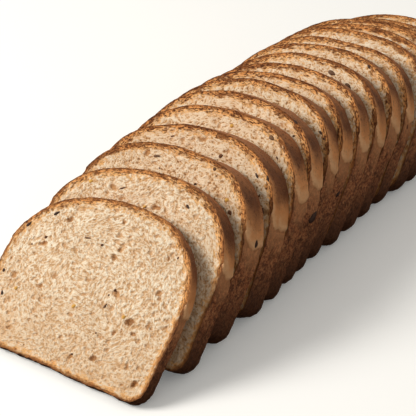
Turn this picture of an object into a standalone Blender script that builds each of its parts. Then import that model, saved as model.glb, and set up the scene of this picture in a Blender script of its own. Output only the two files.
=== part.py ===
"""A sliced multigrain tin loaf: thin slices lean back on one another, with the loaf's heel at the far end.

Metres, +Z up. The slices' cut faces look along -Y, the loaf runs along +Y, and its right side is +X.
The origin is the middle of the loaf's footprint, on the surface that the slices stand on.
"""

import math
import random
from dataclasses import dataclass

import bmesh
import bpy
import numpy as np
from mathutils import Euler, Matrix, Vector

# The loaf's profile, seen on a cut face
LOAF_WIDTH = 0.119
BASE_WIDTH = 0.1175
WALL_TOP_WIDTH = 0.1185
CORNER_RADIUS = 0.010
WALL_TOP = 0.40  # where the straight tin wall ends, as a share of the slice's height
LIP = 0.44  # where the crust that rose over the tin's edge is widest, as a share of the height
DOME_ROUNDNESS = 0.84  # 1 is an ellipse, less is squarer
DOME_SKEW = 0.0085  # the dome's top leans to the right
BASE_SHARES = (0.0, 0.34, 0.68)  # where the straight base has points, from its middle to its rounded corner
CORNER_STEPS = 4
DOME_STEPS = 13
BASE_POINTS = len(BASE_SHARES) + CORNER_STEPS - 2  # from the middle of the base into its corner's curve

# The slices
CRUST = 0.0036  # width of the baked rim on a cut face
CRUMB_SINK = 0.0003  # the crumb lies this far below the rim
BELLY = 0.0003  # the crust between two cuts bulges this far
HEEL_WALL = 0.009  # depth of the heel's side before it rounds over
HEEL_ROUNDING = 0.012
HEEL_ROUNDING_STEPS = 5
HEEL_END_BULGE = 0.002

# How the slices stand
CONTACT_GAP = 0.0004
CONTACT_REACH = 0.045  # half the width over which two turned slices could touch
FOOT_SINK = 0.0012  # the bottom edge is pressed flat by this much
BEND_STEPS = 40  # points up a slice's bent middle line
LEVEL_STEPS = 200  # levels at which two neighbours are compared

# Unevenness of the baked outside, and the seeds on it
WAVE_DEPTH = 0.0004
WAVES = ((2, 9.0), (3, -14.0), (5, 23.0), (7, -31.0))  # waves round the profile, turns per metre of loaf
WAVE_PHASE = 1 / 7  # turns between one wave's start and the next
SEED_LENGTHS = (0.0036, 0.0052)
SEED_WIDTH_SHARE = 0.46
SEED_RISE_SHARE = 0.36
SEED_BURIED_SHARE = 0.2  # of a seed's half height: its middle lies this far below the crust
SEEDS_PER_SLICE = (1, 3)
SEED_SPACING = 0.011
SEED_TURN = 0.7  # radians that a seed may be turned from the slice's height
SEED_DRIFT = 0.1  # how far from the middle of the crust's width a seed may lie, as a share of that width
LOWEST_SEED = 0.2  # as a share of the slice's height
SEED_TRIES = 200
RANDOM_SEED = 7


@dataclass(frozen=True)
class Stance:
    """One slice: its size, how far it leans back, turns and sits to the right, and its top's droop."""

    height: float
    thickness: float
    lean_deg: float
    turn_deg: float
    shift: float
    droop: float


@dataclass(frozen=True)
class Seed:
    """A large grain on a slice's right side: its height up it, depth behind the cut face, and shape."""

    height: float
    depth: float
    length: float
    turn_deg: float


SLICES = (
    Stance(0.0951, 0.0076, 46.7, -0.7, -0.0020, 0.0009),
    Stance(0.0945, 0.0131, 40.4, 0.1, 0.0032, -0.0008),
    Stance(0.0922, 0.0186, 39.8, -3.8, 0.0013, -0.0057),
    Stance(0.0918, 0.0178, 30.9, -1.5, 0.0012, 0.0027),
    Stance(0.0947, 0.0140, 27.3, -2.9, 0.0009, 0.0076),
    Stance(0.0960, 0.0137, 29.3, -2.9, -0.0005, 0.0052),
    Stance(0.0972, 0.0127, 32.7, -3.0, -0.0024, 0.0068),
    Stance(0.0957, 0.0132, 34.3, -3.0, -0.0026, 0.0050),
    Stance(0.0940, 0.0141, 34.9, -3.0, -0.0010, 0.0050),
    Stance(0.0939, 0.0133, 35.7, -2.6, -0.0010, 0.0047),
    Stance(0.0931, 0.0135, 36.1, -2.3, -0.0015, 0.0043),
    Stance(0.0909, 0.0117, 36.6, -1.0, -0.0012, 0.0025),
    Stance(0.0893, 0.0117, 35.8, -0.2, 0.0008, 0.0017),
    Stance(0.0866, 0.0114, 35.7, -0.1, 0.0006, 0.0019),
    Stance(0.0834, 0.0117, 35.9, -0.1, -0.0005, 0.0018),
    Stance(0.0775, 0.0114, 38.8, -0.1, -0.0003, 0.0021),
    Stance(0.0735, 0.0116, 44.8, -0.1, -0.0003, 0.0025),
)
HEEL = Stance(0.0700, 0.0210, 47.0, 0.5, 0.0010, 0.0025)
LARGE_SEEDS = {
    "slice_03": Seed(0.0590, 0.0120, 0.0045, -12.0),
    "slice_07": Seed(0.0353, 0.0030, 0.0065, -25.0),
    "slice_08": Seed(0.0410, 0.0087, 0.0036, -30.0),
}

CRUST_COLOUR, CRUST_ROUGHNESS = (0.30, 0.13, 0.05, 1.0), 0.75
CRUMB_COLOUR, CRUMB_ROUGHNESS = (0.68, 0.47, 0.28, 1.0), 0.9
SEED_COLOUR, SEED_ROUGHNESS = (0.06, 0.03, 0.02, 1.0), 0.5
CRUST_SLOT, CRUMB_SLOT, SEED_SLOT = range(3)


def clear_scene():
    """Removes every object that the file starts with."""
    for obj in list(bpy.data.objects):
        bpy.data.objects.remove(obj, do_unlink=True)


def make_material(name, colour, roughness):
    """A plain Principled BSDF material."""
    material = bpy.data.materials.new(name)
    material.use_nodes = True
    shader = material.node_tree.nodes["Principled BSDF"]
    shader.inputs["Base Color"].default_value = colour
    shader.inputs["Roughness"].default_value = roughness
    shader.inputs["Metallic"].default_value = 0.0
    material.diffuse_color = colour
    return material


def half_profile(height):
    """The right half of a cut face's outline as (x, z), from the middle of its base to its dome's top."""
    base, wall, widest = BASE_WIDTH / 2, WALL_TOP_WIDTH / 2, LOAF_WIDTH / 2
    points = [(share * (base - CORNER_RADIUS), 0.0) for share in BASE_SHARES]
    for turn in np.linspace(-math.pi / 2, 0.0, CORNER_STEPS):
        reach = CORNER_RADIUS * math.cos(turn)
        points.append((base - CORNER_RADIUS + reach, CORNER_RADIUS * (1 + math.sin(turn))))
    for share in (0.5, 1.0):
        rise = CORNER_RADIUS + share * (WALL_TOP * height - CORNER_RADIUS)
        points.append((base + share * (wall - base), rise))
    points.append(((wall + widest) / 2, (WALL_TOP + LIP) / 2 * height))
    for turn in np.linspace(0.0, math.pi / 2, DOME_STEPS):
        across = widest * math.cos(turn) ** DOME_ROUNDNESS
        points.append((across, height * (LIP + (1 - LIP) * math.sin(turn) ** DOME_ROUNDNESS)))
    return points


def outline(height, along):
    """The whole outline at a place along the loaf: point k and point -k face each other across it."""
    right = half_profile(height)
    left = [(-x, z) for x, z in right[-2:0:-1]]
    points = np.array(right + left)
    rise = np.clip((points[:, 1] / height - LIP) / (1 - LIP), 0, 1)
    points[:, 0] += DOME_SKEW * rise * (1 - (2 * points[:, 0] / LOAF_WIDTH) ** 2)
    around = np.arange(len(points)) / len(points)
    wave = np.zeros(len(points))
    for count, rate in WAVES:
        turns = count * (around + WAVE_PHASE) + rate * along
        wave += math.sqrt(1 / count) * np.sin(2 * math.pi * turns)
    middle = np.array([0.0, height / 2])
    outward = points - middle
    outward /= np.linalg.norm(outward, axis=1)[:, None]
    return points + outward * (WAVE_DEPTH * wave)[:, None]


def inset(points, height, amount):
    """The outline drawn in evenly towards its middle."""
    shares = np.array([1 - 2 * amount / LOAF_WIDTH, 1 - 2 * amount / height])
    return points * shares + np.array([0.0, amount])


def droop_at(stance, z):
    """How far the slice's sheet has bent back at a height up the slice."""
    return stance.droop * (np.clip(z, 0, None) / stance.height) ** 2


def ring(bm, stance, points, depth):
    """One loop of vertices round the slice, at a depth behind its front face."""
    return [bm.verts.new((x, depth - stance.thickness + droop_at(stance, z), z)) for x, z in points]


def bridge(bm, front, back, slot):
    """Quads between two loops with the same count."""
    for k in range(len(front)):
        face = bm.faces.new((front[k - 1], front[k], back[k], back[k - 1]))
        face.material_index = slot


def fill(bm, loop, slot, facing_back):
    """Closes a loop by the base's polygon and strips across the rest, so that it follows the bend."""
    strips = [loop[-BASE_POINTS:] + loop[: BASE_POINTS + 1]]
    for k in range(BASE_POINTS, len(loop) // 2):
        corners = [loop[k], loop[k + 1], loop[-k - 1], loop[-k]]
        strips.append([v for n, v in enumerate(corners) if v not in corners[:n]])
    for corners in strips:
        face = bm.faces.new(corners[::-1] if facing_back else corners)
        face.material_index = slot


def rings_of_slice(thickness):
    """(depth, inset, slot of the band that starts here) for each loop of a slice, front to back."""
    return (
        (CRUMB_SINK, CRUST, CRUST_SLOT),
        (0.0, 0.0, CRUST_SLOT),
        (thickness / 2, -BELLY, CRUST_SLOT),
        (thickness, 0.0, CRUST_SLOT),
        (thickness - CRUMB_SINK, CRUST, CRUMB_SLOT),
    )


def rings_of_heel(thickness):
    """The same for the heel, whose far end is rounded over and baked all over."""
    rings = [(CRUMB_SINK, CRUST, CRUST_SLOT), (0.0, 0.0, CRUST_SLOT), (HEEL_WALL / 2, -BELLY, CRUST_SLOT)]
    rounding_depth = thickness - HEEL_END_BULGE - HEEL_WALL
    for turn in np.linspace(0.0, math.pi / 2, HEEL_ROUNDING_STEPS):
        depth = HEEL_WALL + rounding_depth * math.sin(turn)
        rings.append((depth, HEEL_ROUNDING * (1 - math.cos(turn)), CRUST_SLOT))
    rings.append((thickness, 2 * HEEL_ROUNDING, CRUST_SLOT))
    return rings


def bread_mesh(name, stance, rings, along):
    """A closed bread body in its own frame: back at y = 0, cut face at y = -thickness, base at z = 0."""
    bm = bmesh.new()
    loops = []
    for depth, amount, _ in rings:
        points = inset(outline(stance.height, along + depth), stance.height, amount)
        loops.append(ring(bm, stance, points, depth))
    fill(bm, loops[0], CRUMB_SLOT, facing_back=False)
    for front, back, (_, _, slot) in zip(loops, loops[1:], rings):
        bridge(bm, front, back, slot)
    fill(bm, loops[-1], rings[-1][2], facing_back=True)
    bmesh.ops.recalc_face_normals(bm, faces=bm.faces)
    mesh = bpy.data.meshes.new(name)
    bm.to_mesh(mesh)
    bm.free()
    return mesh


def lean_matrix(stance):
    """Leans a slice back over its bottom edge, then turns it about the vertical."""
    angles = Euler((-math.radians(stance.lean_deg), 0.0, math.radians(stance.turn_deg)))
    return angles.to_matrix().to_4x4()


def foot_drop(mesh, stance):
    """How far the leaning body comes down, so that the surface presses its lowest edge flat."""
    turned = lean_matrix(stance)
    return min((turned @ v.co).z for v in mesh.vertices) + FOOT_SINK


def middle_line(body, facing_back):
    """Levels and places along the loaf of the body's middle, on its back or on its foot and front."""
    mesh, stance = body
    z = np.linspace(0.0, stance.height + WAVE_DEPTH, BEND_STEPS)
    y = droop_at(stance, z)
    if facing_back:
        z, y = np.append(z, z[-1]), np.append(y, y[-1] - stance.thickness)
    else:
        z, y = np.append(0.0, z), np.append(0.0, y - stance.thickness)
    lean = math.radians(stance.lean_deg)
    levels = z * math.cos(lean) - y * math.sin(lean) - foot_drop(mesh, stance)
    return levels, y * math.cos(lean) + z * math.sin(lean)


def spacing(front, rear):
    """How far behind the front slice's foot the rear one stands, so that the one leans on the other."""
    back_levels, back_places = middle_line(front, facing_back=True)
    face_levels, face_places = middle_line(rear, facing_back=False)
    levels = np.linspace(0.0, min(back_levels[-1], face_levels[-1]), LEVEL_STEPS)
    nearest = np.interp(levels, back_levels, back_places) - np.interp(levels, face_levels, face_places)
    turn = math.radians(abs(front[1].turn_deg - rear[1].turn_deg))
    gap = CONTACT_GAP / math.cos(math.radians(rear[1].lean_deg))
    return nearest.max() + gap + CONTACT_REACH * math.tan(turn)


def trim_foot(mesh, matrix):
    """Cuts the body off flat at the surface it stands on."""
    to_local = matrix.inverted()
    bm = bmesh.new()
    bm.from_mesh(mesh)
    geometry = bm.verts[:] + bm.edges[:] + bm.faces[:]
    up = (to_local.to_3x3() @ Vector((0.0, 0.0, 1.0))).normalized()
    floor = to_local.translation
    cut = bmesh.ops.bisect_plane(bm, geom=geometry, plane_co=floor, plane_no=up, clear_inner=True)
    edges = [item for item in cut["geom_cut"] if isinstance(item, bmesh.types.BMEdge)]
    bmesh.ops.edgenet_fill(bm, edges=edges, mat_nr=CRUST_SLOT)
    bmesh.ops.triangulate(bm, faces=bm.faces)
    bmesh.ops.recalc_face_normals(bm, faces=bm.faces)
    bm.to_mesh(mesh)
    bm.free()


def seat_on_crust(stance, spot, step, depth):
    """A place on the crust and its outward way, from a point of the outline and the step along it."""
    centre = Vector((spot[0], depth - stance.thickness + droop_at(stance, spot[1]), spot[1]))
    return centre, Vector((step[1], 0.0, -step[0])).normalized()


def random_seeds(rng, stance, points, count):
    """Small grains on the crust's right, top and left, as (place, outward way, length, turn)."""
    shown = [k for k in range(len(points)) if points[k][1] > LOWEST_SEED * stance.height]
    seeds = []
    for _ in range(SEED_TRIES):
        k = rng.choice(shown)
        step = points[k] - points[k - 1]
        spot = points[k - 1] + step * rng.random()
        depth = stance.thickness * (0.5 + rng.uniform(-SEED_DRIFT, SEED_DRIFT))
        centre, outward = seat_on_crust(stance, spot, step, depth)
        if all((centre - other[0]).length > SEED_SPACING for other in seeds):
            seeds.append((centre, outward, rng.uniform(*SEED_LENGTHS), rng.uniform(-SEED_TURN, SEED_TURN)))
        if len(seeds) == count:
            break
    return seeds


def large_seed(stance, points, seed):
    """The same four values for a large grain on the right side."""
    k = next(k for k in range(1, len(points)) if points[k][1] > seed.height)
    step = points[k] - points[k - 1]
    spot = points[k - 1] + step * (seed.height - points[k - 1][1]) / step[1]
    centre, outward = seat_on_crust(stance, spot, step, seed.depth)
    return centre, outward, seed.length, math.radians(seed.turn_deg)


def make_seed(name, place, material):
    """One low, pointed grain, partly sunk in the crust."""
    centre, outward, length, turn = place
    rise = length * SEED_RISE_SHARE / 2
    bm = bmesh.new()
    bmesh.ops.create_icosphere(bm, subdivisions=1, radius=1.0)
    size = Matrix.Diagonal((length / 2, length * SEED_WIDTH_SHARE / 2, rise, 1.0))
    spin = Matrix.Rotation(turn + math.pi / 2, 4, "Z")
    facing = outward.to_track_quat("Z", "Y").to_matrix().to_4x4()
    at = Matrix.Translation(centre - outward * rise * SEED_BURIED_SHARE)
    bmesh.ops.transform(bm, matrix=at @ facing @ spin @ size, verts=bm.verts)
    mesh = bpy.data.meshes.new(name)
    bm.to_mesh(mesh)
    bm.free()
    mesh.materials.append(material)
    return bpy.data.objects.new(name, mesh)


def fuse_seeds(body, places, material):
    """Joins the grains to the slice that they lie on, into one body."""
    seeds = bpy.data.collections.new(f"{body.name}_seeds")
    bpy.context.scene.collection.children.link(seeds)
    for k, place in enumerate(places):
        seed = make_seed(f"{body.name}_seed_{k}", place, material)
        seed.matrix_world = body.matrix_world
        seeds.objects.link(seed)
    union = body.modifiers.new("seeds", "BOOLEAN")
    union.operation = "UNION"
    union.operand_type = "COLLECTION"
    union.collection = seeds
    union.solver = "EXACT"
    union.material_mode = "TRANSFER"
    bpy.context.view_layer.update()
    evaluated = body.evaluated_get(bpy.context.evaluated_depsgraph_get())
    joined = bpy.data.meshes.new_from_object(evaluated)
    body.modifiers.clear()
    body.data = joined
    for seed in list(seeds.objects):
        bpy.data.objects.remove(seed, do_unlink=True)
    bpy.data.collections.remove(seeds)


def build_bodies():
    """Meshes of all slices and the heel, front to back, as (name, mesh, stance, place in the whole loaf)."""
    bodies = []
    along = 0.0
    for k, stance in enumerate(SLICES):
        name = f"slice_{k + 1:02d}"
        mesh = bread_mesh(name, stance, rings_of_slice(stance.thickness), along)
        bodies.append((name, mesh, stance, along))
        along += stance.thickness
    bodies.append(("heel", bread_mesh("heel", HEEL, rings_of_heel(HEEL.thickness), along), HEEL, along))
    return bodies


def foot_places(bodies):
    """Where each slice's foot stands along the loaf, each one leaning on the one behind it."""
    places = [0.0]
    for front, rear in zip(bodies, bodies[1:]):
        places.append(places[-1] + spacing(front[1:3], rear[1:3]))
    return places


def centre_on_footprint(objects):
    """Moves the loaf so that the origin is the middle of its box, on the surface."""
    bpy.context.view_layer.update()
    corners = np.array([obj.matrix_world @ v.co for obj in objects for v in obj.data.vertices])
    low, high = corners.min(axis=0), corners.max(axis=0)
    for obj in objects:
        obj.location.x -= (low[0] + high[0]) / 2
        obj.location.y -= (low[1] + high[1]) / 2


def main():
    """Builds the loaf."""
    clear_scene()
    crust = make_material("crust", CRUST_COLOUR, CRUST_ROUGHNESS)
    crumb = make_material("crumb", CRUMB_COLOUR, CRUMB_ROUGHNESS)
    seed_coat = make_material("seed_coat", SEED_COLOUR, SEED_ROUGHNESS)
    rng = random.Random(RANDOM_SEED)
    bodies = build_bodies()
    loaf = []
    for (name, mesh, stance, along), place in zip(bodies, foot_places(bodies)):
        mesh.materials.append(crust)
        mesh.materials.append(crumb)
        body = bpy.data.objects.new(name, mesh)
        bpy.context.scene.collection.objects.link(body)
        body.rotation_euler = lean_matrix(stance).to_euler()
        body.location = (stance.shift, place, -foot_drop(mesh, stance))
        bpy.context.view_layer.update()
        trim_foot(mesh, body.matrix_world)
        points = outline(stance.height, along + stance.thickness / 2)
        seeds = random_seeds(rng, stance, points, rng.randint(*SEEDS_PER_SLICE))
        if name in LARGE_SEEDS:
            seeds.append(large_seed(stance, points, LARGE_SEEDS[name]))
        fuse_seeds(body, seeds, seed_coat)
        loaf.append(body)
    centre_on_footprint(loaf)


main()
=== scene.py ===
"""The looks of a sliced multigrain tin loaf, built round its CAD solids.

Every slice's solid is measured, and a fine mesh of the same form takes its place: two cut faces
with pores and a baked rim, and the crust between the cuts. Grains are separate meshes, bedded in
the crumb and on the crust. Lengths are metres in the meshes, and millimetres in the numbers that
the finishes read and where a name ends in mm.
"""

from __future__ import annotations

import logging
import math
from dataclasses import dataclass, field
from enum import Enum
from typing import Any, Sequence, Union

import bmesh
import bpy
import numpy as np
from mathutils import Matrix, Vector
from mathutils.bvhtree import BVHTree


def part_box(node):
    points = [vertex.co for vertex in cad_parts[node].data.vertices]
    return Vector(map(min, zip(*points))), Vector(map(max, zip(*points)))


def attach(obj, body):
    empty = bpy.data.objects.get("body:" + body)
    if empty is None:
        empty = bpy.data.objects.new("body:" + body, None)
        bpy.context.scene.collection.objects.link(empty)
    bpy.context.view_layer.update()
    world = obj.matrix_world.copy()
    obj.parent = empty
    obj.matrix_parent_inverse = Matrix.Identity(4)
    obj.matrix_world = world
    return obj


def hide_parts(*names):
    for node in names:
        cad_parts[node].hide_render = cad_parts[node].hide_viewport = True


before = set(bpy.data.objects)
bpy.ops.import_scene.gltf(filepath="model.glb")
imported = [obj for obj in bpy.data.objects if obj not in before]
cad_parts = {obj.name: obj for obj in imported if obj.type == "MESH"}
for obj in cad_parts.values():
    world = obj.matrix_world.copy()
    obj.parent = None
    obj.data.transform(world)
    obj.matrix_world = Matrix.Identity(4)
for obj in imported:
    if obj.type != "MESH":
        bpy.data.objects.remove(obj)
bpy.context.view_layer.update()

FRAME_PIXELS = 416
MM = 0.001
LOG = logging.getLogger("loaf")

Colour = tuple[float, float, float, float]
Number = Union["Wire", float]
Paint = Union["Wire", Colour]


def srgb(red: int, green: int, blue: int) -> Colour:
    """Turns a display colour of 0 to 255 into the linear and opaque one that shaders use."""
    shares = [part / 255 for part in (red, green, blue)]
    linear = [v / 12.92 if v <= 0.04045 else ((v + 0.055) / 1.055) ** 2.4 for v in shares]
    return (linear[0], linear[1], linear[2], 1.0)


# ---------------------------------------------------------------- shader arithmetic


class Wire:
    """A shader socket whose arithmetic adds Math nodes to its material."""

    def __init__(self, recipe: "Recipe", socket: bpy.types.NodeSocket) -> None:
        """Keeps the socket and the recipe that it belongs to."""
        self.recipe = recipe
        self.socket = socket

    def __add__(self, other: Number) -> "Wire":
        """The sum."""
        return self.recipe.math("ADD", self, other)

    def __sub__(self, other: Number) -> "Wire":
        """The difference."""
        return self.recipe.math("SUBTRACT", self, other)

    def __rsub__(self, other: float) -> "Wire":
        """The difference, with the number first."""
        return self.recipe.math("SUBTRACT", other, self)

    def __mul__(self, other: Number) -> "Wire":
        """The product."""
        return self.recipe.math("MULTIPLY", self, other)

    __radd__ = __add__

    @property
    def centred(self) -> "Wire":
        """Noise shifted so that it lies evenly round 0."""
        return self - 0.5

    def between(self, low: Number, high: Number) -> "Wire":
        """Rises smoothly from 0 at low to 1 at high, or falls if low is the larger."""
        return self.recipe.rise(self, low, high)


class Recipe:
    """A material under construction."""

    def __init__(self, name: str) -> None:
        """Starts a material with a Principled BSDF."""
        self.material = bpy.data.materials.new(name)
        self.material.use_nodes = True
        self.tree = self.material.node_tree
        self.surface = self.tree.nodes["Principled BSDF"]

    def node(
        self,
        kind: str,
        settings: dict[str, Any] | None = None,
        sockets: dict[str | int, Any] | None = None,
    ) -> bpy.types.Node:
        """Adds a node.

        Args:
            kind: Blender's name for the node's type.
            settings: The node's own options, set first.
            sockets: A value or a wire for each input that isn't left alone.

        Returns:
            The new node.
        """
        made = self.tree.nodes.new(kind)
        for name, value in (settings or {}).items():
            setattr(made, name, value)
        for key, value in (sockets or {}).items():
            self.feed(made.inputs[key], value)
        return made

    def feed(self, socket: bpy.types.NodeSocket, value: Any) -> None:
        """Links a wire to a socket, or sets the socket's own value."""
        if isinstance(value, Wire):
            self.tree.links.new(value.socket, socket)
        else:
            socket.default_value = value

    def math(self, operation: str, first: Number, second: Number) -> Wire:
        """One Math node on two numbers."""
        made = self.node("ShaderNodeMath", {"operation": operation}, {0: first, 1: second})
        return Wire(self, made.outputs[0])

    def rise(self, value: Number, low: Number, high: Number) -> Wire:
        """A smooth step from 0 at low to 1 at high."""
        sockets = {"Value": value, "From Min": low, "From Max": high}
        made = self.node("ShaderNodeMapRange", {"interpolation_type": "SMOOTHSTEP"}, sockets)
        return Wire(self, made.outputs[0])

    def read(self, name: str) -> Wire:
        """A number that the mesh carries at its points."""
        made = self.node("ShaderNodeAttribute", {"attribute_name": name})
        return Wire(self, made.outputs["Fac"])

    def read_place(self, name: str, stretch: Sequence[float] = (1.0, 1.0, 1.0)) -> Wire:
        """A place that the mesh carries at its points, stretched along its axes."""
        made = self.node("ShaderNodeAttribute", {"attribute_name": name})
        sockets = {0: Wire(self, made.outputs["Vector"]), 1: stretch}
        scaled = self.node("ShaderNodeVectorMath", {"operation": "MULTIPLY"}, sockets)
        return Wire(self, scaled.outputs[0])

    def noise(self, place: Wire, size: float, detail: float = 2.0, roughness: float = 0.5) -> Wire:
        """Soft noise, about 0.3 to 0.7, whose lumps are as wide as size, in millimetres."""
        sockets = {"Vector": place, "Scale": 1 / size, "Detail": detail, "Roughness": roughness}
        return Wire(self, self.node("ShaderNodeTexNoise", None, sockets).outputs[0])

    def mix(self, share: Number, first: Paint, second: Paint) -> Wire:
        """A colour between two others."""
        made = self.node("ShaderNodeMix", {"data_type": "RGBA"}, {0: share, 6: first, 7: second})
        return Wire(self, made.outputs[2])

    def coats(self, base: Paint, *coats: tuple[Number, Paint]) -> Paint:
        """Lays colours over a base in turn, each given after the share of it that covers."""
        for share, colour in coats:
            base = self.mix(share, base, colour)
        return base

    def bump(self, height: Wire, distance: float, strength: float = 1.0) -> Wire:
        """A normal bent by a height of 0 to 1, which is distance metres high at 1."""
        sockets = {"Height": height, "Distance": distance, "Strength": strength}
        return Wire(self, self.node("ShaderNodeBump", None, sockets).outputs[0])

    def finish(
        self, colour: Paint, roughness: Number, normal: Wire | None, gloss: float
    ) -> bpy.types.Material:
        """Feeds the Principled BSDF.

        Args:
            colour: The base colour.
            roughness: The roughness.
            normal: The bumped normal, if any.
            gloss: The specular level, the same all over.

        Returns:
            The material.
        """
        self.feed(self.surface.inputs["Base Color"], colour)
        self.feed(self.surface.inputs["Roughness"], roughness)
        if normal is not None:
            self.feed(self.surface.inputs["Normal"], normal)
        self.surface.inputs["Specular IOR Level"].default_value = gloss
        return self.material


# ---------------------------------------------------------------- finishes


@dataclass(frozen=True)
class CrumbFinish:
    """A cut face: pale spongy crumb with small hollows, and the golden baked rim round it."""

    cream: Colour = srgb(241, 220, 190)
    highlight: Colour = srgb(252, 240, 216)
    tan: Colour = srgb(214, 174, 131)
    # the next two colours are painted shade in the crumb's hollows and holes
    hollow: Colour = srgb(188, 134, 80)
    deep: Colour = srgb(100, 62, 38)
    golden: Colour = srgb(252, 194, 124)
    brown: Colour = srgb(212, 136, 72)
    burnt: Colour = srgb(114, 60, 28)
    toasted: Colour = srgb(88, 48, 26)

    cloud_mm: float = 14.0
    cell_mm: float = 2.0
    fine_mm: float = 1.0
    grain_mm: float = 0.55
    patch_mm: float = 3.2
    grit_mm: float = 1.9
    fleck_mm: float = 0.62
    drawn_out: tuple[float, float, float] = (0.3, 1.0, 0.6)
    roughness: float = 0.92
    gloss: float = 0.2
    bump_m: float = 0.0022
    bump_strength: float = 0.85

    def make(self) -> bpy.types.Material:
        """Builds the material.

        Returns:
            The material of all cut faces.
        """
        r = Recipe("crumb")
        sponge = r.read_place("sponge")
        cells = r.noise(sponge, self.cell_mm, 3.0, 0.6)
        fine = r.noise(sponge, self.fine_mm, 2.0, 0.6)
        grain = r.noise(r.read_place("place"), self.grain_mm, 2.0, 0.6)
        form = cells * 0.5 + fine * 0.35 + grain * 0.15
        rim, flecked = self.rim(r, self.crumb(r, form, cells, fine), cells, fine)
        normal = r.bump(form - flecked * 0.1, self.bump_m, self.bump_strength)
        return r.finish(rim, self.roughness, normal, self.gloss)

    def crumb(self, r: Recipe, form: Wire, cells: Wire, fine: Wire) -> Paint:
        """The colour inside the rim: pale, with a painted highlight on its ridges, and darker with
        painted shade in its hollows and holes and towards the base.

        Args:
            r: The material.
            form: Unevenness of all sizes.
            cells: The largest of it.
            fine: The middle of it.

        Returns:
            The colour.
        """
        height, pore, coarse = r.read("height"), r.read("pore"), r.read("coarse")
        clouds = r.noise(r.read_place("place"), self.cloud_mm)
        # random cloudy tone, plus painted shade towards the base of the face
        clouds_and_base_shade = clouds.between(0.38, 0.68) * 0.25 + height.between(0.55, 0.05) * 0.34
        painted_hollow_shade = cells * 0.55 + fine * 0.45 - coarse * 0.018
        hole = pore + cells.centred * 3.0 + fine.centred * 2.0
        return r.coats(
            self.tan,
            (form.between(0.43, 0.54), self.cream),
            (form.between(0.53, 0.61) * (0.8 - coarse * 0.35), self.highlight),
            (clouds_and_base_shade + coarse * 0.26, self.tan),
            # painted shade in the low places of the crumb's noise, stronger on coarse slices
            (painted_hollow_shade.between(0.430, 0.375) * (0.40 + coarse * 0.45), self.hollow),
            (painted_hollow_shade.between(0.385, 0.345) * (0.10 + coarse * 0.65), self.deep),
            # painted shade in the holes
            (hole.between(0.25, 1.1) * pore.between(0.1, 0.4) * 0.85, self.hollow),
            (hole.between(1.2, 2.2) * pore.between(0.5, 1.0) * 0.45, self.deep),
        )

    def rim(self, r: Recipe, crumb: Paint, cells: Wire, fine: Wire) -> tuple[Paint, Wire]:
        """Bakes the crumb near the crust: golden, brown, and flecked where it is darkest.

        Args:
            r: The material.
            crumb: The colour inside the rim.
            cells: The crumb's cells, which make the rim's inner border uneven.
            fine: The crumb's finer unevenness.

        Returns:
            The colour of the whole face, and where the dark flecks are.
        """
        edge, height = r.read("edge"), r.read("height")
        coarse, above = r.read("coarse"), r.read("above")
        girth = r.read_place("girth", self.drawn_out)
        dash, grit = r.noise(girth, self.fleck_mm, 3.0, 0.65), r.noise(girth, self.grit_mm)
        patch = r.noise(girth, self.patch_mm, 3.0, 0.6)
        crown = height.between(0.40, 0.78)
        ragged = edge + grit.centred * 6.0 + cells.centred * 7.0
        baked = r.mix(fine.between(0.44, 0.60) * 0.5, self.golden, self.brown)
        burnt = patch.between(0.49, 0.56) * (ragged - crown * 1.7).between(2.8, 0.8)
        flecked = dash.between(0.515, 0.55) * (ragged - crown * 1.8).between(3.0, 0.7)
        lower = above.between(4.0, -8.0) * edge.between(2.6, 0.6)
        skin = edge.between(1.2, 0.3) * (0.30 + grit.between(0.4, 0.6) * 0.4)
        rim = r.coats(
            crumb,
            ((ragged - crown * 1.5).between(4.2, 1.2) * 0.92, baked),
            ((ragged - crown * 0.9).between(2.4, 0.0) * 0.8, self.brown),
            (burnt * (0.25 + crown * (0.35 + coarse * 0.15)), self.burnt),
            (flecked * (0.4 + crown * (0.32 + coarse * 0.28)), self.toasted),
            (lower * 0.4, self.toasted),
            (skin, self.toasted),
        )
        return rim, flecked


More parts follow.
